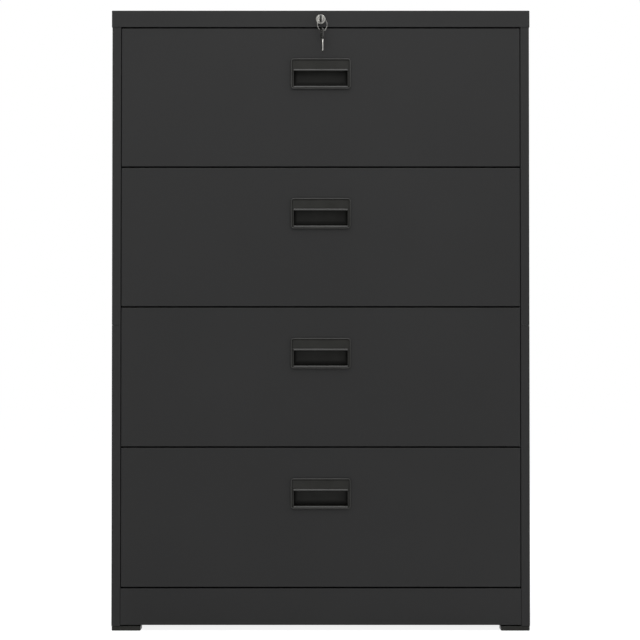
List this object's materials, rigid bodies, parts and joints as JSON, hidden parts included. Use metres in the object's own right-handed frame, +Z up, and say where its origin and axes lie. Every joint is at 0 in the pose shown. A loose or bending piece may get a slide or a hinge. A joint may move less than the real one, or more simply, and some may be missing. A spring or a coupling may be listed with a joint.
{
  "type": "lateral filing cabinet",
  "caption": "Wide free-standing sheet-steel filing cabinet with full-width drawers on telescopic slides, recessed pulls and one lock that bars every drawer.",
  "frame": {"origin": "on the floor, under the middle of the whole object's box, the key and its ring included", "axes": "+Z up, -Y out of the drawer fronts, +X to the right as seen from the front"},
  "size_m": [0.9, 0.4876, 1.3331],
  "materials": {
    "powder_coat": "fine-textured anthracite powder coat",
    "black_plastic": "moulded satin black",
    "zinc_steel": "zinc plated",
    "nickel": "bright nickel plate",
    "key_steel": "nickel-plated steel blade in a moulded black bow"
  },
  "bodies": {
    "cabinet": {"top_cap": "powder_coat", "upper_left_side": "powder_coat", "upper_right_side": "powder_coat", "lower_left_side": "powder_coat", "lower_right_side": "powder_coat", "upper_back": "powder_coat", "lower_back": "powder_coat", "base_panel": "powder_coat", "front_left_foot": "black_plastic", "front_right_foot": "black_plastic", "rear_left_foot": "black_plastic", "rear_right_foot": "black_plastic", "lock_housing": "nickel", "drawer_1_outer_slide_left": "zinc_steel", "drawer_1_outer_slide_right": "zinc_steel", "drawer_2_outer_slide_left": "zinc_steel", "drawer_2_outer_slide_right": "zinc_steel", "drawer_3_outer_slide_left": "zinc_steel", "drawer_3_outer_slide_right": "zinc_steel", "drawer_4_outer_slide_left": "zinc_steel", "drawer_4_outer_slide_right": "zinc_steel"},
    "drawer_1": {"drawer_1_front": "powder_coat", "drawer_1_tray": "powder_coat", "drawer_1_handle": "black_plastic", "drawer_1_file_frame": "zinc_steel", "drawer_1_inner_slide_left": "zinc_steel", "drawer_1_inner_slide_right": "zinc_steel"},
    "drawer_2": {"drawer_2_front": "powder_coat", "drawer_2_tray": "powder_coat", "drawer_2_handle": "black_plastic", "drawer_2_file_frame": "zinc_steel", "drawer_2_inner_slide_left": "zinc_steel", "drawer_2_inner_slide_right": "zinc_steel"},
    "drawer_3": {"drawer_3_front": "powder_coat", "drawer_3_tray": "powder_coat", "drawer_3_handle": "black_plastic", "drawer_3_file_frame": "zinc_steel", "drawer_3_inner_slide_left": "zinc_steel", "drawer_3_inner_slide_right": "zinc_steel"},
    "drawer_4": {"drawer_4_front": "powder_coat", "drawer_4_tray": "powder_coat", "drawer_4_handle": "black_plastic", "drawer_4_file_frame": "zinc_steel", "drawer_4_inner_slide_left": "zinc_steel", "drawer_4_inner_slide_right": "zinc_steel"},
    "drawer_1_middle_slides": {"drawer_1_middle_slide_left": "zinc_steel", "drawer_1_middle_slide_right": "zinc_steel"},
    "drawer_2_middle_slides": {"drawer_2_middle_slide_left": "zinc_steel", "drawer_2_middle_slide_right": "zinc_steel"},
    "drawer_3_middle_slides": {"drawer_3_middle_slide_left": "zinc_steel", "drawer_3_middle_slide_right": "zinc_steel"},
    "drawer_4_middle_slides": {"drawer_4_middle_slide_left": "zinc_steel", "drawer_4_middle_slide_right": "zinc_steel"},
    "lock_plug": {"lock_plug": "nickel", "lock_cam": "zinc_steel"},
    "lock_bar": {"lock_bar": "zinc_steel", "lock_link": "zinc_steel"},
    "key": {"key": "key_steel"},
    "key_ring": {"key_ring": "nickel"}
  },
  "joints": [
    {"name": "drawer_1_slide", "type": "slide", "parent": "cabinet", "child": "drawer_1", "axis": [0, -1, 0], "range_m": [0, 0.385]},
    {"name": "drawer_2_slide", "type": "slide", "parent": "cabinet", "child": "drawer_2", "axis": [0, -1, 0], "range_m": [0, 0.385]},
    {"name": "drawer_3_slide", "type": "slide", "parent": "cabinet", "child": "drawer_3", "axis": [0, -1, 0], "range_m": [0, 0.385]},
    {"name": "drawer_4_slide", "type": "slide", "parent": "cabinet", "child": "drawer_4", "axis": [0, -1, 0], "range_m": [0, 0.385]},
    {"name": "drawer_1_middle_slide", "type": "slide", "parent": "cabinet", "child": "drawer_1_middle_slides", "axis": [0, -1, 0], "range_m": [0, 0.1925]},
    {"name": "drawer_2_middle_slide", "type": "slide", "parent": "cabinet", "child": "drawer_2_middle_slides", "axis": [0, -1, 0], "range_m": [0, 0.1925]},
    {"name": "drawer_3_middle_slide", "type": "slide", "parent": "cabinet", "child": "drawer_3_middle_slides", "axis": [0, -1, 0], "range_m": [0, 0.1925]},
    {"name": "drawer_4_middle_slide", "type": "slide", "parent": "cabinet", "child": "drawer_4_middle_slides", "axis": [0, -1, 0], "range_m": [0, 0.1925]},
    {"name": "lock_turn", "type": "hinge", "parent": "cabinet", "child": "lock_plug", "pos_m": [0, -0.2195, 1.31385], "axis": [0, 1, 0], "range_deg": [0, 90]},
    {"name": "lock_bar_slide", "type": "slide", "parent": "cabinet", "child": "lock_bar", "axis": [1, 0, 0], "range_m": [-0.01131, 0]},
    {"name": "key_pull", "type": "slide", "parent": "lock_plug", "child": "key", "axis": [0, -1, 0], "range_m": [0, 0.03]},
    {"name": "key_ring_swing", "type": "hinge", "parent": "key", "child": "key_ring", "pos_m": [0, -0.2358, 1.31235], "axis": [-1, 0, 0], "range_deg": [-5, 90]}
  ],
  "couplings": [
    {"joint": "drawer_1_middle_slide", "follows": "drawer_1_slide", "ratio": 0.5},
    {"joint": "drawer_2_middle_slide", "follows": "drawer_2_slide", "ratio": 0.5},
    {"joint": "drawer_3_middle_slide", "follows": "drawer_3_slide", "ratio": 0.5},
    {"joint": "drawer_4_middle_slide", "follows": "drawer_4_slide", "ratio": 0.5},
    {"joint": "lock_turn", "follows": "lock_bar_slide", "rad_per_m": -138.88}
  ]
}
